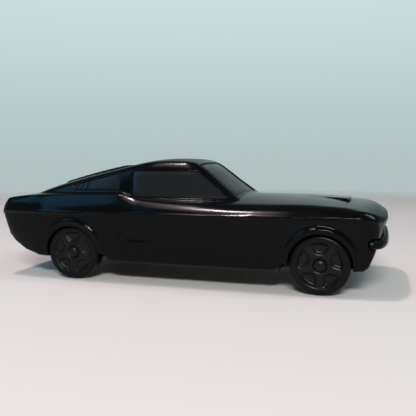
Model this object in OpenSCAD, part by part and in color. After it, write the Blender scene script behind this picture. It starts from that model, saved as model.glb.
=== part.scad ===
// Toy fastback coupe of about one twenty-fourth size: a hollow moulded shell on a base plate,
// two fixed axles and four wheels that turn freely. Millimetres, +X to the nose, +Y to the left, +Z up.

/* [Overall] */
// Length from the tail to the front of the bumper
car_length = 180; // [165:1:195]
// Width across the side creases
car_width = 75; // [70:0.5:82]
// Height of the roof above the ground
car_height = 56; // [52:0.5:61]
// Distance between the axles
wheelbase = 114; // [106:1:120]
// Front axle behind the front of the bumper
front_overhang = 27.4; // [25:0.5:31]
// How far the tyres stand in from the widest part of the side
tyre_inset = 3.1; // [2.6:0.1:4]

/* [Shell] */
// Thickness of the moulded wall
wall = 2.4; // [1.8:0.1:3]
// Ledge inside the shell that the base plate rests under
ledge = 1.6; // [1:0.1:2.4]
// Free space between a tyre and its arch
arch_gap = 0.6; // [0.5:0.1:1.2]
// How far the rear openings hang lower than their tubs
arch_drop = 0.9; // [0:0.1:1.4]
// Radial width of the lip round an arch
lip_w = 2.9; // [2.2:0.1:3.6]
// Lean of the lip, which lets it fade into the side below
lip_lean = 9.5; // [6:0.5:11]
// Turn of the lip in plan, which follows the taper of the side
lip_toe = 2.8; // [2:0.1:4]
// Free space between a tyre and the inner side of its tub
well_gap = 1.2; // [0.8:0.1:2]
// Wall of a wheel tub
tub_wall = 1.3; // [1:0.1:2]
// Depth of the side scoop at its rear wall
scoop_depth = 1; // [0.6:0.1:1.8]
// Rise of the intake on the bonnet at its open front
intake_rise = 1.1; // [0.8:0.1:1.8]
// Width of the bonnet intake at its front
intake_w = 13.2; // [11:0.2:16]

/* [Window panels] */
// Depth of a panel's face below the surface of the shell
recess = 0.6; // [0.3:0.1:0.8]
// Thickness of a panel
panel_t = 0.8; // [0.6:0.1:1.1]
// Width of a rib in the quarter vents
vent_rib_w = 1.1; // [0.7:0.1:1.6]
// Number of ribs in a quarter vent
vent_ribs = 3; // [2:1:4]

/* [Rear louvre] */
// Number of slats
slats = 8; // [8:1:10]
// Height of a slat's edge above the shell
slat_rise = 1; // [0.6:0.1:1.6]
// Thickness of the panel under the slats
louvre_t = 1; // [0.7:0.1:1.4]

/* [Nose] */
// Width of the grille opening
grille_w = 37.5; // [36:0.5:46]
// Height of the grille opening
grille_h = 4.6; // [4.2:0.1:6.4]
// Lower edge of the grille opening above the ground
grille_z = 25.6; // [24.8:0.1:26.4]
// Width of a grille bar
grille_bar = 0.7; // [0.5:0.1:1]
// Vertical bars between the ends of the grille
grille_bars = 9; // [5:1:13]
// Diameter of a headlamp
lamp_d = 4.6; // [4:0.1:6.4]
// Headlamp centre from the middle of the car
lamp_y = 22.5; // [21:0.1:26]
// Depth of the nose pockets behind the tip of the bonnet
nose_pocket = 4.6; // [3.5:0.1:5.5]
// Lower edge of the front bumper above the ground
bumper_z = 18.9; // [17.6:0.1:19.2]
// Height of the front bumper in the middle
bumper_h = 6.3; // [6:0.1:8]
// Height of the front bumper at its ends
bumper_end_h = 3.8; // [3:0.1:5.4]
// How far the front bumper wraps back along the sides
bumper_wrap = 10.5; // [9:0.5:13]
// Width across the front bumper
bumper_w = 68.5; // [66:0.5:70]
// Thickness of the front bumper in the middle
bumper_t = 4.3; // [3.6:0.1:5]

/* [Tail] */
// Height of a tail lamp
tail_lamp_h = 5.4; // [4:0.1:6]
// Width of one lamp of a group
tail_lamp_w = 4.2; // [3:0.1:4.6]
// Space between two lamps of a group
tail_lamp_gap = 0.9; // [0.7:0.1:1.2]
// Lamps in a group
tail_lamp_n = 3; // [2:1:3]
// Inner side of a lamp group from the middle of the car
tail_lamp_y = 10; // [8:0.5:11]
// Middle of the tail lamps above the ground
tail_lamp_z = 29.6; // [29:0.1:30.2]
// Depth of the tail lamps
tail_lamp_t = 3; // [2:0.1:4]
// Lower edge of the rear bumper above the ground
rear_bumper_z = 20; // [19:0.1:21]
// Height of the rear bumper
rear_bumper_h = 3.2; // [2.4:0.1:4]
// Width across the rear bumper
rear_bumper_w = 58; // [52:0.5:60]

/* [Base plate] */
// Thickness of the base plate
plate_t = 2.2; // [1.6:0.1:3]
// Underside of the base plate above the ground
plate_z = 9.3; // [8.8:0.1:10]
// Length of an axle saddle along the car
saddle_l = 8; // [6.5:0.1:10]
// Width of an axle saddle across the car
saddle_w = 7; // [5:0.1:9]

/* [Wheels] */
// Outer diameter of a tyre
tyre_d = 25.4; // [23:0.1:27]
// Width of a tyre
tyre_w = 7.8; // [6.5:0.1:8.4]
// Diameter of the seat between rim and tyre
rim_d = 20.4; // [18:0.1:21.6]
// Diameter of an axle
axle_d = 3; // [2.4:0.1:3.6]
// Outer diameter of the hub
hub_d = 8; // [7:0.1:9]
// Diameter of a domed axle cap
cap_d = 4.4; // [4:0.1:5.2]
// Height of an axle cap
cap_h = 1.9; // [1.6:0.1:2.4]
// Depth of the axle's seat in a cap
cap_bore = 0.8; // [0.5:0.1:1]
// Depth of the wedge pockets in a rim
wedge_depth = 1.3; // [0.8:0.1:1.8]
// Wedge pockets round a rim
wedges = 5; // [5:1:6]
// Width of the spoke between two pockets
spoke_w = 3.4; // [2.4:0.1:4.4]

/* [Fits] */
// Space round a piece that is let into a pocket
fit = 0.1; // [0.05:0.01:0.2]
// Radial running clearance of a wheel on its axle
running = 0.06; // [0.03:0.01:0.1]
// Space between a tyre and the seat of its rim
tyre_fit = 0.25; // [0.2:0.01:0.3]
// End float of a wheel
end_float = 0.3; // [0.2:0.05:0.5]

/* [Hidden] */
black = [0.05, 0.05, 0.055];
grey = [0.22, 0.22, 0.24];
steel = [0.6, 0.6, 0.62];

front_x = car_length / 2 - front_overhang;
rear_x = front_x - wheelbase;
axle_z = tyre_d / 2;
arch_r = tyre_d / 2 + arch_gap;
tyre_out = car_width / 2 - tyre_inset;
tyre_in = tyre_out - tyre_w;
well_in = tyre_in - well_gap;
tub_in = well_in - tub_wall;
plate_top = plate_z + plate_t;
nose_tip = 99.67;
// Spacing of the sections between two rows of a table, in hundredths of the length
body_pitch = 3.3;
cabin_pitch = 2.4;

// Columns of the shell's sections: place along the car from the tail, then half widths and heights,
// all in hundredths of the car's length, half width and height.
LOW_W = 1; LOW_Z = 2; CREASE_W = 3; CREASE_Z = 4; TOP_W = 5; TOP_Z = 6; CROWN_Z = 7;
BODY = [
    [0, 77, 47.3, 85.3, 53.6, 78.7, 59.6, 60.2],
    [0.5, 80, 39.3, 88, 54.6, 80.5, 63.6, 64.3],
    [1.5, 82.7, 33.2, 90.4, 55.3, 82, 66.4, 67],
    [3.3, 85.3, 28.2, 92.3, 55.5, 83.2, 67.5, 68],
    [6.7, 88, 21.8, 94.7, 55.7, 84.8, 68.9, 69.8],
    [11.1, 90.7, 17.7, 97, 55.7, 87, 70, 71.4],
    [22.2, 92.8, 17.1, 99.5, 55.9, 88.5, 71.3, 72.9],
    [34.4, 94.4, 16.3, 100, 56.3, 89, 72, 73.9],
    [38.9, 94.7, 16.3, 100, 56.4, 89.6, 68.6, 71.4],
    [50, 94.7, 16.3, 100, 56.8, 89, 66.8, 69.6],
    [65, 94.7, 16.3, 99.7, 57.3, 88, 65.4, 70.4],
    [80, 93.3, 17.1, 98.7, 57.9, 87.5, 66, 70.5],
    [88.9, 90.7, 18.4, 96.5, 58.5, 87, 65.2, 67.8],
    [92.8, 88.5, 18.4, 94.1, 58, 85.8, 64.2, 65.6],
    [94.4, 87, 18.6, 92.8, 57.4, 84.6, 63.2, 64.6],
    [95.6, 85.4, 21.4, 91, 56.7, 83, 62.2, 63.6],
    [96.7, 83, 29.5, 88, 55.7, 80, 61, 62.4],
    [97.6, 79, 38.5, 83.5, 54.8, 75, 59.6, 60.8],
    [98.7, 66, 51, 70.5, 54.6, 62, 58, 58.9],
    [99.3, 51, 53.4, 54.5, 55.2, 47, 57.5, 58.2],
    [nose_tip, 34, 54.2, 37, 55, 30, 56.2, 56.9],
];

// Columns of the cabin's sections, in the same hundredths: the side runs from base to rail and the roof
// from rail to crown.
BASE_W = 1; BASE_Z = 2; RAIL_W = 3; RAIL_Z = 4; ROOF_Z = 5;
CABIN = [
    [3.3, 66, 58, 62, 63.5, 65],
    [7.2, 72, 60.5, 64.5, 68.6, 71.1],
    [11.1, 77, 60.5, 66, 73.4, 76.3],
    [16.7, 80.5, 60.5, 65.6, 78.8, 81.9],
    [25, 83, 60.5, 63.5, 85.8, 89],
    [32.8, 84, 60.5, 60, 91.8, 94.5],
    [36.7, 84, 60.5, 57.5, 95, 97.3],
    [41.1, 84, 60.5, 55, 97.5, 99.4],
    [44.4, 84, 60.5, 53.6, 98.2, 100],
    [50, 84, 60.5, 52, 98, 99.6],
    [52, 83.7, 60.5, 51.4, 97, 98.6],
    [54, 83.5, 60.5, 51.8, 93.6, 95.1],
    [59.3, 83, 60.5, 56.4, 80.4, 81.9],
    [64.3, 82, 60.5, 63.4, 68.4, 69.9],
    [66.4, 81.5, 60.5, 66.5, 63, 64.5],
];

// Corners of the panels in the cabin's side, rear low, front low, front top, rear top.
SIDE_WINDOW = [[37.2, 69.6], [62, 69.6], [53.3, 90.4], [36.2, 90.2]];
QUARTER_VENT = [[19.3, 74.2], [33, 75.2], [32.2, 87.8], [20.2, 78]];
// Windscreen and louvre between two places along the car, with the share of the rail width they reach.
WINDSCREEN = [53.2, 63.4, 0.88];
LOUVRE = [13.4, 29.9, 0.8];

function along(p) = (p / 100 - 0.5) * car_length;
function wide(p) = p / 100 * car_width / 2;
function high(p) = p / 100 * car_height;
function mix(a, b, u) = a + (b - a) * u;

// A value between two rows of a table, on a smooth curve that never overshoots its rows.
function span(t, p, i = 0) = i >= len(t) - 2 || p < t[i + 1][0] ? i : span(t, p, i + 1);
function rise(t, c, i) = (t[i + 1][c] - t[i][c]) / (t[i + 1][0] - t[i][0]);
function lean(t, c, i) = i == 0 ? rise(t, c, 0) : i == len(t) - 1 ? rise(t, c, i - 1)
    : let (a = rise(t, c, i - 1), b = rise(t, c, i)) a * b <= 0 ? 0 : 2 * a * b / (a + b);
function at(t, c, p) = let (i = span(t, p), h = t[i + 1][0] - t[i][0], u = (p - t[i][0]) / h)
    (1 + 2 * u) * (1 - u) * (1 - u) * t[i][c] + u * u * (3 - 2 * u) * t[i + 1][c]
    + h * u * (1 - u) * ((1 - u) * lean(t, c, i) - u * lean(t, c, i + 1));
function stations(t, pitch, trim) = let (a = t[0][0] + trim, b = t[len(t) - 1][0] - trim) concat([a],
    [for (i = [0:len(t) - 2]) let (h = t[i + 1][0] - t[i][0], n = max(1, round(h / pitch)))
        for (k = [0:n - 1]) let (p = t[i][0] + h * k / n) if (p > a + 0.3 && p < b - 0.3) p], [b]);
function bend(a, b, c, u) = (1 - u) * (1 - u) * a + 2 * u * (1 - u) * b + u * u * c;

// Half of a shell section from the floor to the middle of the top; skin is taken off all round.
function body_half(p, skin, floor_in, n) = let (
    lw = wide(at(BODY, LOW_W, p)) - skin - floor_in, lz = high(at(BODY, LOW_Z, p)) + skin,
    cw = wide(at(BODY, CREASE_W, p)) - skin, cz = high(at(BODY, CREASE_Z, p)),
    tw = wide(at(BODY, TOP_W, p)) - skin, tz = high(at(BODY, TOP_Z, p)) - skin,
    kz = high(at(BODY, CROWN_Z, p)) - skin, r = min(2.4, (cz - lz) / 4), tuck = skin > 0 ? 0 : 0.9)
    concat(
        [for (k = [0:n[0]]) let (a = 90 * k / n[0]) [lw - r + r * sin(a), lz + r - r * cos(a)]],
        [for (k = [1:n[1]]) bend([lw, lz + r], [cw - tuck - 0.2, mix(lz, cz, 0.45)],
            [cw - tuck, cz - tuck * 0.9], k / n[1])],
        [for (k = [skin > 0 ? 1 : 0:n[2]])
            bend([cw, cz], [cw - 0.5, mix(cz, tz, 0.66)], [tw, tz], k / n[2])],
        [for (k = [1:n[3]]) let (u = 1 - k / n[3]) [tw * u, mix(kz, tz, u * u)]]);

// Side and roof of the cabin at a place along the car.
function side_y(p, z) = let (bz = high(at(CABIN, BASE_Z, p)),
    u = (z - bz) / (high(at(CABIN, RAIL_Z, p)) - bz))
    mix(wide(at(CABIN, BASE_W, p)), wide(at(CABIN, RAIL_W, p)), u) + 2.4 * u * (1 - u);
function roof_z(p, y) = let (rw = wide(at(CABIN, RAIL_W, p)))
    mix(high(at(CABIN, ROOF_Z, p)), high(at(CABIN, RAIL_Z, p)), y * y / rw / rw);
function cabin_half(p, skin, n) = let (bz = high(at(CABIN, BASE_Z, p)), rz = high(at(CABIN, RAIL_Z, p)),
    rw = wide(at(CABIN, RAIL_W, p)), below = skin > 0 ? 6 : 0, z9 = mix(bz, rz, 0.86), y9 = rw * 0.9)
    concat([[wide(at(CABIN, BASE_W, p)) - skin, bz - below]],
        [for (k = [1:n[0]]) let (z = mix(bz, z9, k / n[0])) [side_y(p, z) - skin, z - skin]],
        [for (k = [1:n[1]])
            bend([side_y(p, z9), z9], [rw, rz], [y9, roof_z(p, y9)], k / n[1]) - [skin, skin]],
        [for (k = [1:n[2]]) let (y = (y9 - skin) * (1 - k / n[2])) [y, roof_z(p, y) - skin]]);

function ring(p, half) = concat([for (q = half) [along(p), q[0], q[1]]],
    [for (i = [len(half) - 2:-1:0]) [along(p), -half[i][0], half[i][1]]]);

module loft(rings) {
    m = len(rings[0]);
    last = (len(rings) - 1) * m;
    polyhedron([for (r = rings) for (q = r) q], concat(
        [[for (j = [0:m - 1]) j]], [[for (j = [m - 1:-1:0]) last + j]],
        [for (s = [0:m:last - m]) for (j = [0:m - 1]) let (k = (j + 1) % m)
            each [[s + j, s + m + j, s + m + k], [s + j, s + m + k, s + k]]]));
}

// A slab between two grids of points, w columns wide, the outer grid first.
module slab(outer, inner, w) {
    n = len(outer);
    h = n / w;
    quads = concat(
        [for (v = [0:h - 2]) for (u = [0:w - 2]) let (a = v * w + u) each [
            [a, a + 1, a + 1 + w, a + w], [n + a, n + a + w, n + a + 1 + w, n + a + 1]]],
        [for (u = [0:w - 2]) let (b = n - w + u) each [
            [u + 1, u, n + u, n + u + 1], [b, b + 1, n + b + 1, n + b]]],
        [for (v = [0:h - 2]) let (a = v * w, b = a + w - 1) each [
            [a, a + w, n + a + w, n + a], [b + w, b, n + b, n + b + w]]]);
    polyhedron(concat(outer, inner), [for (q = quads) each [[q[0], q[1], q[2]], [q[0], q[2], q[3]]]]);
}

// A block that follows the left side of the cabin, from a depth near the face to a deeper one.
module side_block(c, near, deep, grow, nu, nv) {
    g = grow / car_length * 100;
    grid = [for (v = [0:nv]) for (u = [0:nu]) let (s = u / nu, t = v / nv,
        p = mix(mix(c[0][0], c[3][0], t) - g, mix(c[1][0], c[2][0], t) + g, s),
        z = mix(high(mix(c[0][1], c[1][1], s)) - grow, high(mix(c[3][1], c[2][1], s)) + grow, t)) [p, z]];
    slab([for (g = grid) [along(g[0]), side_y(g[0], g[1]) - near, g[1]]],
        [for (g = grid) [along(g[0]), side_y(g[0], g[1]) - deep, g[1]]], nu + 1);
}

// A block that follows the roof's slope between two places along the car. The profile lists shares of its
// length, each with the depth of the face there; ends is the depth that the face falls to at its sides.
module roof_block(b, profile, deep, grow, nv, ends = undef) {
    g = grow / car_length * 100;
    grid = [for (v = [0:nv]) for (q = profile) let (p = mix(b[0] - g, b[1] + g, q[0]))
        [p, (b[2] * wide(at(CABIN, RAIL_W, p)) + grow) * (1 - 2 * v / nv),
            ends == undef ? q[1] : mix(q[1], ends, pow(1 - 2 * v / nv, 6))]];
    slab([for (q = grid) [along(q[0]), q[1], roof_z(q[0], q[1]) - q[2]]],
        [for (q = grid) [along(q[0]), q[1], roof_z(q[0], q[1]) - deep]], len(profile));
}
function even(depth, n) = [for (i = [0:n]) [i / n, depth]];

module both() { children(); mirror([0, 1, 0]) children(); }
module across(x, y0, y1, r, n = 0, drop = 0) {
    translate([x, y0, axle_z - drop]) rotate([-90, 0, 0]) cylinder(r = r, h = y1 - y0, $fn = n);
}

// A bumper blade: a rounded section swept along a superellipse, higher in the middle than at its ends.
module blade(depth, half, t, h, end_h, g) {
    n = 10;
    loft([for (i = [-n:n]) let (a = 86 * i / n, c = pow(cos(a), 0.5), s = sign(a) * pow(abs(sin(a)), 0.5),
        nx = half * pow(c, 3), ny = depth * sign(a) * pow(abs(s), 3), d = sqrt(nx * nx + ny * ny),
        hh = mix(h, end_h, abs(s)) / 2 + g)
        [for (k = [0:9]) let (b = 36 * k, e = -cos(b), r = t / 2 + g)
            [depth * c + (r * e - t / 2) * nx / d, half * s + (r * e - t / 2) * ny / d, hh * sin(b)]]]);
}
module front_band(g) {
    translate([car_length / 2 - bumper_wrap, 0, bumper_z + bumper_h / 2])
        blade(bumper_wrap, bumper_w / 2, bumper_t, bumper_h, bumper_end_h, g);
}
module rear_band(g) {
    translate([0.4 - car_length / 2 + 5, 0, rear_bumper_z + rear_bumper_h / 2]) rotate(180)
        blade(5, rear_bumper_w / 2, 2.4, rear_bumper_h, rear_bumper_h, g);
}

// Plan of the base plate: a spine between the tubs and a wide part between the arches.
module base_plan(g) {
    spine = tub_in - 0.4 + g;
    x0 = rear_x + arch_r + tub_wall + 2.4 - g;
    x1 = front_x - arch_r - tub_wall - 2.4 + g;
    side = wide(94.4) - wall + g - fit;
    translate([rear_x - arch_r - g, -spine]) square([wheelbase + arch_r + 9 + 2 * g, 2 * spine]);
    translate([x0, -side]) square([x1 - x0, 2 * side]);
}

module lamp_groups(g) {
    both() for (i = [0:tail_lamp_n - 1])
        translate([0.4 - car_length / 2 - (g > 0 ? 2 : 0), tail_lamp_y + i * (tail_lamp_w + tail_lamp_gap) - g,
            tail_lamp_z - tail_lamp_h / 2 - g])
            cube([tail_lamp_t + (g > 0 ? 2 + g : 0), tail_lamp_w + 2 * g, tail_lamp_h + 2 * g]);
}

// Double bead over a wheel opening, on the left side; it leans out at the top and sinks into the side below.
module arch_lip(x, drop, toe) {
    w = lip_w + drop;
    translate([x, car_width / 2 - 2.9, axle_z - drop]) rotate([-lip_lean, 0, toe]) rotate([-90, 0, 0])
        rotate_extrude(angle = 180, start = 180, $fn = 48) translate([arch_r, 0]) polygon([[-0.5, -3],
            [-0.5, -0.6], [0.5, -0.4], [w * 0.34, -0.85], [w * 0.46, -0.4], [w * 0.64, 0], [w * 0.84, -0.3],
            [w, -1.1], [w, -3]]);
}

module shell_outside() {
    loft([for (p = stations(BODY, body_pitch, 0)) ring(p, body_half(p, 0, 0, [3, 4, 5, 6]))]);
    loft([for (p = stations(CABIN, cabin_pitch, 0)) ring(p, cabin_half(p, 0, [4, 3, 6]))]);
    both() { arch_lip(front_x, 0, -lip_toe); arch_lip(rear_x, arch_drop, lip_toe); }
}
module shell_inside() {
    trim = wall / car_length * 100;
    loft([for (p = stations(BODY, 7, trim + 3)) ring(p, body_half(p, wall, ledge, [1, 1, 2, 2]))]);
    loft([for (p = stations(CABIN, 6, trim + 4)) ring(p, cabin_half(p, wall, [1, 1, 2]))]);
}
module tubs(r, inner, outer) { both() for (x = [front_x, rear_x]) across(x, inner, outer, r, 56); }
module openings() {
    y = tyre_out + 0.5;
    both() { across(front_x, y, car_width, arch_r, 56); across(rear_x, y, car_width, arch_r, 56, arch_drop); }
}

// Wedge that lifts the sill's end beside an arch; dir points away from the wheel.
module sill_notch(x, dir) {
    hull() for (q = [[arch_r - 2, plate_z + 3.4], [arch_r + 2.2, plate_z + 3.2],
        [arch_r + 8.6, plate_z - 0.6], [arch_r - 2, plate_z - 4]])
        translate([x + dir * q[0], tub_in, q[1]]) rotate([-90, 0, 0]) cylinder(r = 0.2, h = 30, $fn = 8);
}
module side_scoop() {
    x = rear_x + arch_r + lip_w + 6.8;
    y = car_width / 2 - 1.3;
    hull() for (q = [[0, 0.05, 50], [1.8, -scoop_depth, 34.8], [18.4, 0, 34.6]])
        translate([x + q[0], y + q[1], high(q[2])]) cube([0.3, 8, 0.3]);
}
function bonnet_z(p, y) = let (u = y / wide(at(BODY, TOP_W, p)))
    mix(high(at(BODY, CROWN_Z, p)), high(at(BODY, TOP_Z, p)), u * u);
// The raised intake on the bonnet and the hollow of its mouth.
intake_p = nose_tip - 9.4;
module intake() hull() for (k = [-1, 1], q = [[0, 1, intake_rise], [-10.4, 0.75, 0.1]])
    let (p = intake_p + q[0], y = intake_w / 2 * q[1])
        translate([along(p), k * y - 0.15, bonnet_z(p, y) - 1]) cube([0.3, 0.3, 1 + q[2]]);
module intake_mouth() hull() for (q = [[-1.4, 1.8], [2, 1.2]])
    translate([along(intake_p) + q[0], q[1] / 2 - intake_w / 2, bonnet_z(intake_p, 0) + 0.1])
        cube([0.3, intake_w - q[1], intake_rise - 0.6]);

module body_shell() color(black) difference() {
    union() {
        difference() { shell_outside(); shell_inside(); }
        intersection() { shell_outside(); tubs(arch_r + tub_wall, tub_in, car_width); }
        intake();
    }
    intake_mouth();
    tubs(arch_r, well_in, tyre_out + 0.6);
    openings();
    for (x = [front_x, rear_x]) translate([x - axle_d / 2 - fit, -car_width / 2, -1])
        cube([axle_d + 2 * fit, car_width, axle_z + axle_d / 2 + fit + 1]);
    both() { sill_notch(front_x, -1); sill_notch(rear_x, 1); side_scoop(); }
    translate([0, 0, -1]) linear_extrude(plate_top + fit / 2 + 1) base_plan(fit);
    translate([0, 0, -1]) linear_extrude(plate_top + 3) base_plan(-ledge);
    both() {
        side_block(SIDE_WINDOW, -3, recess + panel_t + fit, fit, 10, 5);
        side_block(QUARTER_VENT, -3, recess + panel_t + fit, fit, 5, 4);
    }
    roof_block(WINDSCREEN, even(-3, 6), recess + panel_t + fit, fit, 8);
    roof_block(LOUVRE, even(-3, 8), louvre_t + fit, fit, 10);
    front_band(fit);
    rear_band(fit);
    lamp_groups(fit);
    translate([along(nose_tip) - nose_pocket, -grille_w / 2 - fit, grille_z - fit])
        cube([nose_pocket + 6, grille_w + 2 * fit, grille_h + 2 * fit]);
    both() translate([along(nose_tip) - nose_pocket, lamp_y, grille_z + grille_h / 2]) rotate([0, 90, 0])
        cylinder(d = lamp_d + 2 * fit, h = nose_pocket + 6, $fn = 32);
}

module windscreen() color(black) roof_block(WINDSCREEN, even(recess, 6), recess + panel_t, 0, 8);
module side_window_left() color(black) side_block(SIDE_WINDOW, recess, recess + panel_t, 0, 10, 5);
module side_window_right() mirror([0, 1, 0]) side_window_left();
function vent_at(s, t) = mix(mix(QUARTER_VENT[0], QUARTER_VENT[1], s),
    mix(QUARTER_VENT[3], QUARTER_VENT[2], s), t);
module quarter_vent_left() color(black) {
    side_block(QUARTER_VENT, recess, recess + panel_t, 0, 5, 4);
    w = vent_rib_w / car_length * 100 / (QUARTER_VENT[1][0] - QUARTER_VENT[0][0]);
    for (i = [0:vent_ribs - 1]) let (s = w * (1 + 2.6 * i))
        side_block([vent_at(s, 0.1), vent_at(s + w, 0.1), vent_at(s + w, 0.9), vent_at(s, 0.9)],
            0, recess + panel_t / 2, 0, 1, 3);
}
module quarter_vent_right() mirror([0, 1, 0]) quarter_vent_left();
module rear_louvre() color(black) roof_block(LOUVRE, concat([[0, 0.3]],
    [for (i = [0:slats - 1]) each [[(i + 0.14) / slats, 0.3], [(i + 0.78) / slats, -slat_rise],
        [(i + 0.84) / slats, 0.3]]], [[1, 0.3]]), louvre_t, 0, 10, 0.3);

module grille() color(black) {
    x = along(nose_tip) - nose_pocket;
    translate([x, -grille_w / 2, grille_z]) cube([1, grille_w, grille_h]);
    translate([x, 0, grille_z]) rotate([90, 0, 90]) linear_extrude(2.6) difference() {
        translate([-grille_w / 2, 0]) square([grille_w, grille_h]);
        translate([grille_bar - grille_w / 2, grille_bar])
            square([grille_w - 2 * grille_bar, grille_h - 2 * grille_bar]);
    }
    for (i = [1:grille_bars])
        translate([x + 0.5, i * grille_w / (grille_bars + 1) - (grille_w + grille_bar) / 2, grille_z + 0.2])
            cube([1.5, grille_bar, grille_h - 0.4]);
    for (i = [1:2]) translate([x + 0.5, 0.2 - grille_w / 2, grille_z + i * grille_h / 3 - grille_bar / 2])
        cube([1.7, grille_w - 0.4, grille_bar]);
}
module headlamps() color(black) both()
    translate([along(nose_tip) - nose_pocket, lamp_y, grille_z + grille_h / 2]) rotate([0, 90, 0])
        rotate_extrude() polygon([[0, 0], [lamp_d / 2, 0], [lamp_d / 2, 2.6], [lamp_d / 2 - 0.5, 2.9],
            [lamp_d / 2 - 0.8, 2.2], [lamp_d * 0.3, 2.6], [lamp_d * 0.15, 2.9], [0, 3]]);
module front_bumper() color(black) front_band(0);
module rear_bumper() color(black) rear_band(0);
module tail_lamps() color(black) lamp_groups(0);

module base_plate() color(grey) difference() {
    union() {
        translate([0, 0, plate_z]) linear_extrude(plate_t) base_plan(0);
        for (x = [front_x, rear_x]) for (s = [-1, 1])
            translate([x - saddle_l / 2, s * (tub_in - saddle_w / 2 - 1.4) - saddle_w / 2, plate_top - 0.5])
                cube([saddle_l, saddle_w, axle_z + axle_d / 2 + 1.6 - plate_top + 0.5]);
    }
    for (x = [front_x, rear_x]) across(x, -tub_in, tub_in, axle_d / 2 + running);
}

rim_in = tyre_in + 0.6;
hub_in = well_in + end_float;
hub_face = tyre_out - cap_h - end_float + 0.5;
cap_seat = hub_face + end_float;
module axle(x) color(steel) across(x, -cap_seat - cap_bore, cap_seat + cap_bore, axle_d / 2);
module front_axle() axle(front_x);
module rear_axle() axle(rear_x);
module axle_caps() color(steel) {
    r = (cap_d * cap_d / 4 + cap_h * cap_h) / 2 / cap_h;
    both() for (x = [front_x, rear_x]) translate([x, cap_seat, axle_z]) rotate([-90, 0, 0])
        rotate_extrude() difference() {
            intersection() {
                translate([0, cap_h - r]) circle(r = r);
                square([cap_d / 2, cap_h]);
            }
            translate([0, -1]) square([axle_d / 2, 1 + cap_bore]);
        }
}

// Wheel pieces stand on their own axis, outer face up, and turn to the side that dir names.
module place(x, dir) { translate([x, 0, axle_z]) rotate([-90 * dir, 0, 0]) children(); }
module wedge_plan() {
    r0 = hub_d / 2 + 1;
    r1 = rim_d / 2 - 1.2;
    half = 180 / wedges;
    difference() {
        intersection() {
            circle(r = r1);
            polygon([[0, 0], 2 * r1 * [cos(half), sin(half)], [3 * r1, 0], 2 * r1 * [cos(half), -sin(half)]]);
        }
        circle(r = r0);
        for (s = [-1, 1]) rotate(s * half) translate([0, -spoke_w / 2]) square([2 * r1, spoke_w]);
    }
}
module rim(x, dir) color(black) place(x, dir) difference() {
    rotate_extrude() polygon([[axle_d / 2 + running, hub_in], [hub_d / 2, hub_in], [hub_d / 2, rim_in + 1.6],
        [rim_d / 2 - 1.2, rim_in + 1.6], [rim_d / 2, rim_in + 0.6], [rim_d / 2, tyre_out - 0.6],
        [rim_d / 2 - 0.5, tyre_out - 0.3], [rim_d / 2 - 0.9, tyre_out - 0.6], [cap_d / 2 + 1.1, tyre_out - 0.6],
        [cap_d / 2 + 0.6, tyre_out - 1], [cap_d / 2 + 0.4, hub_face], [axle_d / 2 + running, hub_face]]);
    for (i = [0:wedges - 1]) rotate(i * 360 / wedges - 90 * dir) translate([0, 0, tyre_out - 0.6 - wedge_depth])
        linear_extrude(wedge_depth + 2) wedge_plan();
}
module tyre(x, dir) color(black) place(x, dir) rotate_extrude() let (seat = rim_d / 2 + tyre_fit) difference() {
    union() {
        translate([seat, tyre_in]) square([tyre_d / 2 - seat - 1.4, tyre_w]);
        translate([seat, tyre_in + 1.4]) square([tyre_d / 2 - seat, tyre_w - 2.8]);
        for (s = [tyre_in + 1.4, tyre_out - 1.4]) translate([tyre_d / 2 - 1.4, s]) circle(r = 1.4);
    }
    translate([0, tyre_in - 1]) square([seat, tyre_w + 2]);
    translate([seat - 1, tyre_in - 1]) square([1.5, 1.5]);
}
module rim_front_left() rim(front_x, 1);
module rim_front_right() rim(front_x, -1);
module rim_rear_left() rim(rear_x, 1);
module rim_rear_right() rim(rear_x, -1);
module tyre_front_left() tyre(front_x, 1);
module tyre_front_right() tyre(front_x, -1);
module tyre_rear_left() tyre(rear_x, 1);
module tyre_rear_right() tyre(rear_x, -1);

body_shell();
windscreen();
side_window_left();
side_window_right();
quarter_vent_left();
quarter_vent_right();
rear_louvre();
grille();
headlamps();
front_bumper();
rear_bumper();
tail_lamps();
base_plate();
front_axle();
rear_axle();
axle_caps();
rim_front_left();
tyre_front_left();
rim_front_right();
tyre_front_right();
rim_rear_left();
tyre_rear_left();
rim_rear_right();
tyre_rear_right();
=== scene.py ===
import math

import bmesh
import bpy
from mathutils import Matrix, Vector, kdtree
from mathutils.bvhtree import BVHTree


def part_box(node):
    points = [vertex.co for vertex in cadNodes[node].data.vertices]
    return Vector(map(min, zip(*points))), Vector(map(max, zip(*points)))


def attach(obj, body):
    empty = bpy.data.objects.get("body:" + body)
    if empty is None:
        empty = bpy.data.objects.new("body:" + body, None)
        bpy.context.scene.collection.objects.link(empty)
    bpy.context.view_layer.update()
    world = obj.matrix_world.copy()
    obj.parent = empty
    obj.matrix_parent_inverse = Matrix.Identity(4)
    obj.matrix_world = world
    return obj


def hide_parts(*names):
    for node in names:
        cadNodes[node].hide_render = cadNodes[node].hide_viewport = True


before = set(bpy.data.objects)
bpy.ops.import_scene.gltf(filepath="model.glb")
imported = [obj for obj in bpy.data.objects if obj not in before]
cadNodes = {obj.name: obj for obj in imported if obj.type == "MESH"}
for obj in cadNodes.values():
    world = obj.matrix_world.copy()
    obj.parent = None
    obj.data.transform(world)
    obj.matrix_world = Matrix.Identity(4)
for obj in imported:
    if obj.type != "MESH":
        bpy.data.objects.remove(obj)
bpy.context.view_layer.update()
scene = bpy.context.scene
mm = 0.001
weldGap = 2e-6
smoothFactor = 0.5
corners = ("front_left", "front_right", "rear_left", "rear_right")
print("frame loaded:", len(cadNodes), "nodes")


# places read from the frame

def middle(nodeName):
    low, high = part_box(nodeName)
    return (low + high) / 2


def outerSide(nodeName):
    return max(abs(point.y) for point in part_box(nodeName))


def sideOf(y):
    return 1 if y > 0 else -1


# small helpers for meshes

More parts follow.
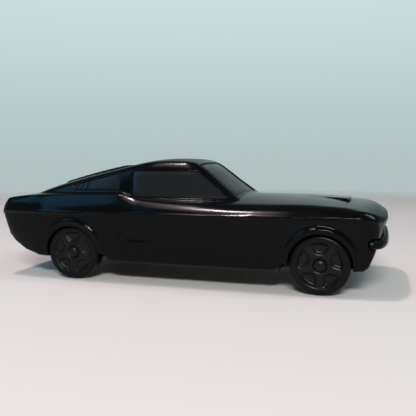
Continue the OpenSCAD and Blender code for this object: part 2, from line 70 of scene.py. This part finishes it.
def mergedCopy(nodeName):
    bm = bmesh.new()
    bm.from_mesh(cadNodes[nodeName].data)
    bmesh.ops.remove_doubles(bm, verts=bm.verts, dist=weldGap)
    return bm


def addPiece(name, bm, finish, nodeName, bodyName="car"):
    for face in bm.faces:
        face.smooth = True
    mesh = bpy.data.meshes.new(name)
    bm.to_mesh(mesh)
    bm.free()
    piece = bpy.data.objects.new(name, mesh)
    scene.collection.objects.link(piece)
    mesh.materials.append(finish)
    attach(piece, bodyName)
    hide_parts(nodeName)
    return piece


def sharpEdges(bm, degrees):
    limit = math.radians(degrees)
    return [e for e in bm.edges if len(e.link_faces) == 2 and e.calc_face_angle(0.0) > limit]


def rounded(bm, look):
    bmesh.ops.bevel(bm, geom=sharpEdges(bm, look["crease"]), offset=look["round"], offset_type="OFFSET",
                    segments=look["segments"], profile=0.5, affect="EDGES", clamp_overlap=True, material=-1)


def softened(bm, verts, passes):
    for _ in range(passes):
        bmesh.ops.smooth_vert(bm, verts=verts, factor=smoothFactor,
                              use_axis_x=True, use_axis_y=True, use_axis_z=True)


def remeshed(bm, voxel):
    mesh = bpy.data.meshes.new("remeshSource")
    bm.to_mesh(mesh)
    bm.free()
    source = bpy.data.objects.new("remeshSource", mesh)
    scene.collection.objects.link(source)
    modifier = source.modifiers.new("voxels", "REMESH")
    modifier.mode = "VOXEL"
    modifier.voxel_size = voxel
    result = source.evaluated_get(bpy.context.evaluated_depsgraph_get())
    out = bmesh.new()
    out.from_mesh(result.to_mesh())
    result.to_mesh_clear()
    bpy.data.objects.remove(source)
    bpy.data.meshes.remove(mesh)
    return out


def lathed(outline, steps, closed):
    bm = bmesh.new()
    verts = [bm.verts.new((0, y, z)) for y, z in outline]
    following = verts[1:] + verts[:1] if closed else verts[1:]
    edges = [bm.edges.new(pair) for pair in zip(verts, following)]
    bmesh.ops.spin(bm, geom=verts + edges, cent=(0, 0, 0), axis=(0, 1, 0), angle=2 * math.pi,
                   steps=steps, use_merge=True)
    bmesh.ops.remove_doubles(bm, verts=bm.verts, dist=weldGap)
    bmesh.ops.holes_fill(bm, edges=[e for e in bm.edges if e.is_boundary], sides=0)
    bmesh.ops.recalc_face_normals(bm, faces=bm.faces)
    return bm


def addBlock(bm, low, high):
    made = bmesh.ops.create_cube(bm, size=1.0)
    size = Vector(high) - Vector(low)
    centre = (Vector(high) + Vector(low)) / 2
    bmesh.ops.scale(bm, vec=size, verts=made["verts"])
    bmesh.ops.translate(bm, vec=centre, verts=made["verts"])


def keepLargest(bm):
    seen, groups = set(), []
    for start in bm.verts:
        if start in seen:
            continue
        group, queue = [], [start]
        seen.add(start)
        while queue:
            v = queue.pop()
            group.append(v)
            for e in v.link_edges:
                w = e.other_vert(v)
                if w not in seen:
                    seen.add(w)
                    queue.append(w)
        groups.append(group)
    groups.sort(key=len)
    for group in groups[:-1]:
        bmesh.ops.delete(bm, geom=group, context="VERTS")


# small helpers for node trees: an input is a value or another node's output

def addNode(tree, kind, inputs):
    node = tree.nodes.new("ShaderNode" + kind)
    for socket, value in inputs.items():
        if isinstance(value, bpy.types.NodeSocket):
            tree.links.new(value, node.inputs[socket])
        else:
            node.inputs[socket].default_value = value
    return node


def mixTones(tree, share, first, second):
    mix = tree.nodes.new("ShaderNodeMix")
    mix.data_type = "RGBA"
    tree.links.new(share, mix.inputs["Factor"])
    for socket, tone in (("A", first), ("B", second)):
        if isinstance(tone, tuple):
            mix.inputs[socket].default_value = (*tone, 1)
        else:
            tree.links.new(tone, mix.inputs[socket])
    return mix.outputs["Result"]


def newFinish(name):
    finish = bpy.data.materials.new(name)
    finish.use_nodes = True
    return finish, finish.node_tree, finish.node_tree.nodes["Principled BSDF"]


# finishes

plastic = {"mottleDetail": 4.0, "mottleSpan": (0.3, 0.7), "rubScale": 5, "grainDetail": 3.0,
           "grainHeight": 0.05 * mm, "sinkHeight": 0.4 * mm}


def satinPlastic(name, look):
    finish, tree, shader = newFinish(name)
    shader.inputs["IOR"].default_value = look["ior"]
    place = addNode(tree, "TexCoord", {}).outputs["Object"]

    # broad uneven gloss of a moulded skin
    mottle = addNode(tree, "TexNoise", {
        "Vector": place, "Scale": look["mottle"], "Detail": plastic["mottleDetail"]}).outputs["Fac"]
    gloss = addNode(tree, "MapRange", {
        "Value": mottle, "From Min": plastic["mottleSpan"][0], "From Max": plastic["mottleSpan"][1],
        "To Min": look["rough"][0], "To Max": look["rough"][1]})
    tree.links.new(gloss.outputs["Result"], shader.inputs["Roughness"])

    # rubbed, slightly greyer edges
    edge = addNode(tree, "NewGeometry", {}).outputs["Pointiness"]
    worn = addNode(tree, "MapRange", {
        "Value": edge, "From Min": look["worn"][0], "From Max": look["worn"][1]}).outputs["Result"]
    rub = addNode(tree, "TexNoise", {
        "Vector": place, "Scale": look["mottle"] * plastic["rubScale"]}).outputs["Fac"]
    wornPatch = addNode(tree, "Math", {0: worn, 1: rub})
    wornPatch.operation = "MULTIPLY"
    tone = mixTones(tree, wornPatch.outputs["Value"], look["colour"], look["wornColour"])
    tree.links.new(tone, shader.inputs["Base Color"])

    # fine grain over shallow sink marks
    grain = addNode(tree, "TexNoise", {
        "Vector": place, "Scale": look["grain"], "Detail": plastic["grainDetail"]}).outputs["Fac"]
    fine = addNode(tree, "Bump", {
        "Height": grain, "Strength": look["grainDepth"], "Distance": plastic["grainHeight"]})
    sink = addNode(tree, "Bump", {
        "Height": mottle, "Strength": look["sinkDepth"], "Distance": plastic["sinkHeight"],
        "Normal": fine.outputs["Normal"]})
    tree.links.new(sink.outputs["Normal"], shader.inputs["Normal"])
    return finish


skinBlack = satinPlastic("skinBlack", {
    "colour": (0.0014, 0.0016, 0.0016), "wornColour": (0.006, 0.0063, 0.0063), "worn": (0.53, 0.62),
    "rough": (0.11, 0.17), "ior": 1.2, "mottle": 90.0, "grain": 2600.0, "grainDepth": 0.25, "sinkDepth": 0.05})
paneBlack = satinPlastic("paneBlack", {
    "colour": (0.0075, 0.0078, 0.0085), "wornColour": (0.014, 0.014, 0.015), "worn": (0.54, 0.64),
    "rough": (0.20, 0.27), "ior": 1.22, "mottle": 120.0, "grain": 3000.0, "grainDepth": 0.2, "sinkDepth": 0.05})
trimBlack = satinPlastic("trimBlack", {
    "colour": (0.003, 0.0034, 0.0037), "wornColour": (0.010, 0.0104, 0.0108), "worn": (0.53, 0.64),
    "rough": (0.16, 0.24), "ior": 1.13, "mottle": 160.0, "grain": 3000.0, "grainDepth": 0.2, "sinkDepth": 0.05})
wheelBlack = satinPlastic("wheelBlack", {
    "colour": (0.003, 0.0033, 0.0035), "wornColour": (0.010, 0.0102, 0.0106), "worn": (0.53, 0.64),
    "rough": (0.30, 0.40), "ior": 1.27, "mottle": 200.0, "grain": 3400.0, "grainDepth": 0.3, "sinkDepth": 0.06})
tyreBlack = satinPlastic("tyreBlack", {
    "colour": (0.004, 0.004, 0.004), "wornColour": (0.013, 0.0128, 0.0125), "worn": (0.53, 0.64),
    "rough": (0.24, 0.36), "ior": 1.2, "mottle": 240.0, "grain": 3600.0, "grainDepth": 0.4, "sinkDepth": 0.06})
baseBlack = satinPlastic("baseBlack", {
    "colour": (0.008, 0.008, 0.0085), "wornColour": (0.018, 0.018, 0.019), "worn": (0.53, 0.64),
    "rough": (0.45, 0.62), "ior": 1.3, "mottle": 150.0, "grain": 2400.0, "grainDepth": 0.5, "sinkDepth": 0.08})
print("finishes made")


# body skin: the moulded shell as one soft form

skin = {"crease": 20.0, "markStep": 0.5 * mm, "voxel": 0.42 * mm, "faces": 190000,
        "near": 0.7 * mm, "far": 3.0 * mm, "plainPasses": 90, "edgePasses": 2,
        "beadIn": 12.9 * mm, "beadOut": 17.6 * mm, "beadShare": 0.12}
plugs = {"low": 11.6 * mm, "high": 14.6 * mm, "plateInset": 0.4 * mm, "plateHalf": 24.9 * mm,
         "sillFrom": -33.6 * mm, "sillTo": 44.8 * mm, "sillHalf": 33.6 * mm,
         "slotHalf": 25.2 * mm, "slotSide": 1.5 * mm, "slotUnder": 1.8 * mm, "slotOver": 2.0 * mm}
shoulder = {"from": -74.0 * mm, "to": 80.0 * mm, "fade": 8.0 * mm, "step": 2.0 * mm, "evenOut": 2,
            "creaseLow": 29.5 * mm, "creaseHigh": 34.0 * mm, "levels": 10, "rayStart": 60.0 * mm,
            "reach": 6.4 * mm, "proudLimit": 2.5 * mm, "lowBlend": 0.5 * mm, "highBlend": 1.5 * mm,
            "flatten": 0.6, "hollow": 0.16 * mm, "hollowAt": 1.2 * mm, "hollowWidth": 0.6 * mm}


# for each step along the car: the crease's half width and height, and the height of the top inside it
def shoulderLines(bm):
    skinTree = BVHTree.FromBMesh(bm)
    start = shoulder["rayStart"]
    count = int((shoulder["to"] - shoulder["from"]) / shoulder["step"]) + 1
    rise = (shoulder["creaseHigh"] - shoulder["creaseLow"]) / (shoulder["levels"] - 1)
    rows = []
    for k in range(count):
        x = shoulder["from"] + k * shoulder["step"]
        widest = None
        for j in range(shoulder["levels"]):
            z = shoulder["creaseLow"] + rise * j
            hit = skinTree.ray_cast(Vector((x, start, z)), Vector((0, -1, 0)))[0]
            if hit and (widest is None or hit.y > widest[0]):
                widest = (hit.y, z)
        inside = widest[0] - shoulder["reach"]
        top = skinTree.ray_cast(Vector((x, inside, start)), Vector((0, 0, -1)))[0]
        rows.append((*widest, top.z))
    even = []
    for k in range(count):
        near = rows[max(0, k - shoulder["evenOut"]):k + shoulder["evenOut"] + 1]
        even.append(tuple(sum(row[i] for row in near) / len(near) for i in range(3)))
    return even


# the band over the crease is pressed towards its chord and hollowed a little, so that it carries two highlights
def pressShoulder(bm, rows):
    for v in bm.verts:
        x, y, z = v.co
        place = (x - shoulder["from"]) / shoulder["step"]
        k = int(place)
        if place < 0 or k >= len(rows) - 1:
            continue
        share = place - k
        creaseY, creaseZ, topZ = (rows[k][i] * (1 - share) + rows[k + 1][i] * share for i in range(3))
        out, up = -shoulder["reach"], topZ - creaseZ
        length = math.hypot(out, up)
        fromY, fromZ = abs(y) - creaseY, z - creaseZ
        along = (fromY * out + fromZ * up) / length
        proud = (fromY * up - fromZ * out) / length
        if not 0 < along < length or abs(proud) > shoulder["proudLimit"]:
            continue
        ends = min(1.0, (x - shoulder["from"]) / shoulder["fade"], (shoulder["to"] - x) / shoulder["fade"])
        weight = ends * min(1.0, along / shoulder["lowBlend"], (length - along) / shoulder["highBlend"])
        dip = shoulder["hollow"] * math.exp(-((along - shoulder["hollowAt"]) / shoulder["hollowWidth"]) ** 2)
        move = -weight * (max(0.0, proud) * shoulder["flatten"] + dip)
        v.co.y += move * up / length * sideOf(y)
        v.co.z += move * -out / length


# plugs close the hollow from below, where the base plate sits, and the axle slots
def addPlugs(bm):
    low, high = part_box("base_plate")
    addBlock(bm, (low.x + plugs["plateInset"], -plugs["plateHalf"], plugs["low"]),
             (high.x - plugs["plateInset"], plugs["plateHalf"], plugs["high"]))
    addBlock(bm, (plugs["sillFrom"], -plugs["sillHalf"], plugs["low"]),
             (plugs["sillTo"], plugs["sillHalf"], plugs["high"]))
    for axle in ("front_axle", "rear_axle"):
        low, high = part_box(axle)
        addBlock(bm, (low.x - plugs["slotSide"], -plugs["slotHalf"], low.z - plugs["slotUnder"]),
                 (high.x + plugs["slotSide"], plugs["slotHalf"], high.z + plugs["slotOver"]))


def creaseMarks(bm):
    marks = []
    for e in sharpEdges(bm, skin["crease"]):
        a, b = e.verts[0].co, e.verts[1].co
        steps = max(1, int((b - a).length / skin["markStep"]))
        marks += [a.lerp(b, k / steps) for k in range(steps + 1)]
    tree = kdtree.KDTree(len(marks))
    for k, mark in enumerate(marks):
        tree.insert(mark, k)
    tree.balance()
    return tree


def makeSkin():
    bm = mergedCopy("body_shell")
    lines, marks = shoulderLines(bm), creaseMarks(bm)
    addPlugs(bm)
    bm = remeshed(bm, skin["voxel"])
    keepLargest(bm)
    pressShoulder(bm, lines)

    # broad panels are smoothed more than what lies near a crease
    away = [marks.find(v.co)[2] for v in bm.verts]
    piece = addPiece("bodySkin", bm, skinBlack, "body_shell")
    group = piece.vertex_groups.new(name="plain")
    hubs = [middle("rim_" + corner) for corner in ("front_left", "rear_left")]
    for k, gap in enumerate(away):
        share = min(1.0, max(0.0, (gap - skin["near"]) / (skin["far"] - skin["near"])))
        spot = piece.data.vertices[k].co
        ring = min(math.hypot(spot.x - hub.x, spot.z - hub.z) for hub in hubs)
        if skin["beadIn"] < ring < skin["beadOut"]:          # the beads round the arches stay crisp
            share *= skin["beadShare"]
        if share > 0:
            group.add((k,), share, "REPLACE")
    plain = piece.modifiers.new("plain", "SMOOTH")
    plain.factor, plain.iterations, plain.vertex_group = smoothFactor, skin["plainPasses"], "plain"
    soft = piece.modifiers.new("soft", "SMOOTH")
    soft.factor, soft.iterations = smoothFactor, skin["edgePasses"]
    thin = piece.modifiers.new("thin", "DECIMATE")
    thin.ratio = min(1.0, skin["faces"] / (2 * len(piece.data.polygons)))
    done = bpy.data.meshes.new_from_object(piece.evaluated_get(bpy.context.evaluated_depsgraph_get()))
    piece.modifiers.clear()
    piece.vertex_groups.clear()
    piece.data = done
    done.name = "bodySkin"
    print("body skin made:", len(done.polygons), "triangles")


makeSkin()


# panels let into the cabin

panel = {"crease": 35.0, "round": 0.25 * mm, "segments": 3}
for nodeName, pieceName in (("windscreen", "windscreenPane"),
                            ("side_window_left", "sidePaneLeft"), ("side_window_right", "sidePaneRight"),
                            ("quarter_vent_left", "ventPanelLeft"), ("quarter_vent_right", "ventPanelRight"),
                            ("rear_louvre", "rearSlats")):
    paneMesh = mergedCopy(nodeName)
    rounded(paneMesh, panel)
    addPiece(pieceName, paneMesh, paneBlack, nodeName)
print("panels made")


# trim

trim = {"flat": 0.01, "crease": 35.0, "round": 0.2 * mm, "segments": 2}
for nodeName, pieceName, slotName in (("grille", "grilleBars", "trim_black"),
                                      ("headlamps", "headlampLenses", "lamp_black"),
                                      ("front_bumper", "frontBand", "trim_black"),
                                      ("rear_bumper", "rearBand", "trim_black"),
                                      ("tail_lamps", "tailLampBars", "lamp_black")):
    trimMesh = mergedCopy(nodeName)
    bmesh.ops.dissolve_limit(trimMesh, angle_limit=trim["flat"], verts=trimMesh.verts, edges=trimMesh.edges)
    rounded(trimMesh, trim)
    addPiece(pieceName, trimMesh, trimBlack, nodeName)
print("trim made")


# wheels

rim = {"voxel": 0.22 * mm, "passes": 26, "bowlPasses": 30, "bowlFrom": 4.1 * mm,
       "inner": 4.6 * mm, "outer": 9.3 * mm, "lip": 0.3 * mm, "reach": 2.2 * mm, "fill": 0.1}


def makeRim(corner):
    nodeName = "rim_" + corner
    hub, face = middle(nodeName), outerSide(nodeName) - rim["lip"]

    def fromHub(v):
        return math.hypot(v.co.x - hub.x, v.co.z - hub.z)

    rimMesh = remeshed(mergedCopy(nodeName), rim["voxel"])
    softened(rimMesh, rimMesh.verts, rim["passes"])
    pockets = [v for v in rimMesh.verts if rim["bowlFrom"] < fromHub(v) < rim["outer"]]
    softened(rimMesh, pockets, rim["bowlPasses"])          # pockets dished like bowls
    for v in rimMesh.verts:
        sunk = face - abs(v.co.y)
        if rim["inner"] < fromHub(v) < rim["outer"] and 0 < sunk < rim["reach"]:
            v.co.y += sunk * rim["fill"] * sideOf(v.co.y)
    addPiece("rimDisc." + corner, rimMesh, wheelBlack, nodeName, "wheel_" + corner)


# shares of the half width, outward, and of the radius
tyre = {"steps": 128,
        "section": ((-0.98, 0.815), (-1.0, 0.86), (-0.97, 0.91), (-0.86, 0.955), (-0.70, 0.985),
                    (-0.5, 1.0), (0.5, 1.0), (0.70, 0.990), (0.84, 0.968), (0.93, 0.935), (0.97, 0.895),
                    (0.968, 0.86), (0.962, 0.83), (0.95, 0.80), (0.93, 0.775), (0.90, 0.755),
                    (0.86, 0.738), (0.82, 0.73), (0.7, 0.74), (-0.7, 0.806))}


def makeTyre(corner):
    nodeName = "tyre_" + corner
    low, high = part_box(nodeName)
    hub, radius = middle(nodeName), (high.x - low.x) / 2
    half = (high.y - low.y) / 2 * sideOf(hub.y)
    tyreMesh = lathed([(along * half, share * radius) for along, share in tyre["section"]], tyre["steps"], True)
    bmesh.ops.translate(tyreMesh, vec=hub, verts=tyreMesh.verts)
    addPiece("tyreRing." + corner, tyreMesh, tyreBlack, nodeName, "wheel_" + corner)


for corner in corners:
    makeRim(corner)
    makeTyre(corner)
print("wheels made")


# domed caps that hide the gap round them: shares of the height over the seat and of the radius

cap = {"radius": 2.7 * mm, "seat": 1.9 * mm, "steps": 64,
       "section": ((1.0, 0.0), (0.985, 0.30), (0.93, 0.58), (0.82, 0.80),
                   (0.64, 0.96), (0.42, 1.08), (0.28, 1.15), (0.0, 1.15))}
capMesh = bmesh.new()
capTop = outerSide("axle_caps")
for corner in corners:
    hub, seat = middle("rim_" + corner), outerSide("rim_" + corner) - cap["seat"]
    dome = lathed([(sideOf(hub.y) * (seat + height * (capTop - seat)), share * cap["radius"])
                   for height, share in cap["section"]], cap["steps"], False)
    bmesh.ops.translate(dome, vec=(hub.x, 0, hub.z), verts=dome.verts)
    domeMesh = bpy.data.meshes.new("domeMesh")
    dome.to_mesh(domeMesh)
    dome.free()
    capMesh.from_mesh(domeMesh)
    bpy.data.meshes.remove(domeMesh)
addPiece("capDomes", capMesh, wheelBlack, "axle_caps")

for nodeName, finish in (("base_plate", baseBlack), ("front_axle", wheelBlack), ("rear_axle", wheelBlack)):
    cadNodes[nodeName].data.materials.clear()
    cadNodes[nodeName].data.materials.append(finish)
print("caps, base and axles made")


# table

table = {"colour": (0.585, 0.525, 0.475), "rough": 0.6, "shine": 0.1,
         "radius": 0.62, "fade": 0.16, "segments": 96}
floorMesh = bmesh.new()
bmesh.ops.create_circle(floorMesh, cap_ends=True, segments=table["segments"], radius=table["radius"])
floor = bpy.data.objects.new("tableTop", bpy.data.meshes.new("tableTop"))
floorMesh.to_mesh(floor.data)
floorMesh.free()
scene.collection.objects.link(floor)
tableWhite, tableTree, tableShader = newFinish("tableWhite")
tableShader.inputs["Base Color"].default_value = (*table["colour"], 1)
tableShader.inputs["Roughness"].default_value = table["rough"]
tableShader.inputs["Specular IOR Level"].default_value = table["shine"]
fromMiddle = addNode(tableTree, "VectorMath", {0: addNode(tableTree, "TexCoord", {}).outputs["Object"]})
fromMiddle.operation = "LENGTH"
fade = addNode(tableTree, "MapRange", {          # the far edge of the table melts into the wall
    "Value": fromMiddle.outputs["Value"], "From Min": table["radius"] - table["fade"],
    "From Max": table["radius"], "To Min": 1.0, "To Max": 0.0})
tableTree.links.new(fade.outputs["Result"], tableShader.inputs["Alpha"])
floor.data.materials.append(tableWhite)


# room: the camera sees a plain wall, and the car the lighter and darker sides of the room

room = {"wallLow": (0.44, 0.535, 0.535), "wallHigh": (0.60, 0.74, 0.745), "front": (0.26, 0.265, 0.27),
        "farLeft": (0.52, 0.63, 0.63), "backLeft": (0.17, 0.21, 0.215), "back": (0.50, 0.61, 0.61),
        "backRight": (0.13, 0.155, 0.16), "right": (0.20, 0.23, 0.25), "rightLow": (0.66, 0.72, 0.70),
        "ceiling": (0.12, 0.125, 0.13)}
turns = {"wall": (-0.06, 0.3), "backLeft": (-0.66, -0.44), "back": (-0.36, -0.10), "backRight": (-0.08, 0.14),
         "front": (-0.2, 0.45), "rightLow": (0.02, 0.22), "right": (0.45, 0.8), "ceiling": (0.3, 0.62)}
world = bpy.data.worlds.new("paleRoom")
scene.world = world
world.use_nodes = True
roomTree = world.node_tree
aim = addNode(roomTree, "TexCoord", {}).outputs["Generated"]
axes = addNode(roomTree, "SeparateXYZ", {"Vector": aim}).outputs


def ramp(axis, turn, first, second):
    start, end = turns[turn]
    share = addNode(roomTree, "MapRange", {"Value": axes[axis], "From Min": start, "From Max": end})
    share.interpolation_type = "SMOOTHSTEP"
    return mixTones(roomTree, share.outputs["Result"], first, second)


seen = ramp("Z", "wall", room["wallLow"], room["wallHigh"])
behind = ramp("X", "backLeft", room["farLeft"], room["backLeft"])
behind = ramp("X", "back", behind, room["back"])
behind = ramp("X", "backRight", behind, room["backRight"])
around = ramp("Y", "front", room["front"], behind)
beside = ramp("Z", "rightLow", room["rightLow"], room["right"])
around = ramp("X", "right", around, beside)
around = ramp("Z", "ceiling", around, room["ceiling"])
cameraRay = addNode(roomTree, "LightPath", {}).outputs["Is Camera Ray"]
roomTone = mixTones(roomTree, cameraRay, around, seen)
roomTree.links.new(roomTone, roomTree.nodes["Background"].inputs["Color"])


# lamps

lamps = {
    "keyBox": {"place": (-0.225, -0.04, 0.98), "aim": (-0.225, 0, 0), "size": (0.045, 0.09),
               "power": 3.8, "colour": (1.0, 0.88, 0.91)},
    "frontBox": {"place": (0.20, -0.82, 0.60), "aim": (0, 0, 0.02), "size": (0.36, 0.14),
                 "power": 10.0, "colour": (0.90, 0.96, 1.0)},
    "sheenBox": {"place": (-0.225, -0.12, 0.95), "aim": (-0.225, 0, 0), "size": (0.24, 0.32),
                 "power": 1.5, "colour": (1.0, 0.74, 0.80)},
    "sideBox": {"place": (0.62, 0.14, 0.74), "aim": (0.05, 0, 0.03), "size": (0.12, 0.48),
                "power": 2.6, "colour": (0.58, 0.83, 1.0)},
    "coolBox": {"place": (-0.62, -0.34, 0.70), "aim": (-0.06, 0, 0.03), "size": (0.42, 0.46),
                "power": 1.7, "colour": (0.10, 0.52, 1.0)}}
for name, look in lamps.items():
    lamp = bpy.data.lights.new(name, "AREA")
    lamp.shape = "RECTANGLE"
    lamp.size, lamp.size_y = look["size"]
    lamp.energy, lamp.color = look["power"], look["colour"]
    holder = bpy.data.objects.new(name, lamp)
    holder.location = look["place"]
    towards = Vector(look["aim"]) - Vector(look["place"])
    holder.rotation_euler = towards.to_track_quat("-Z", "Y").to_euler()
    scene.collection.objects.link(holder)


# camera

cameraLook = {"place": (0.08495, -0.2706, 0.0603), "pitch": 5.78, "yaw": 16.54,
              "focal": 575.0, "frame": 416.0, "sensor": 36.0, "near": 0.01}
cameraData = bpy.data.cameras.new("camera")
cameraData.sensor_width = cameraLook["sensor"]
cameraData.lens = cameraLook["focal"] / cameraLook["frame"] * cameraLook["sensor"]
cameraData.clip_start = cameraLook["near"]
camera = bpy.data.objects.new("camera", cameraData)
camera.location = cameraLook["place"]
camera.rotation_euler = (math.radians(90 - cameraLook["pitch"]), 0, math.radians(cameraLook["yaw"]))
scene.collection.objects.link(camera)
scene.camera = camera
scene.view_settings.view_transform = "Standard"
print("stage made")
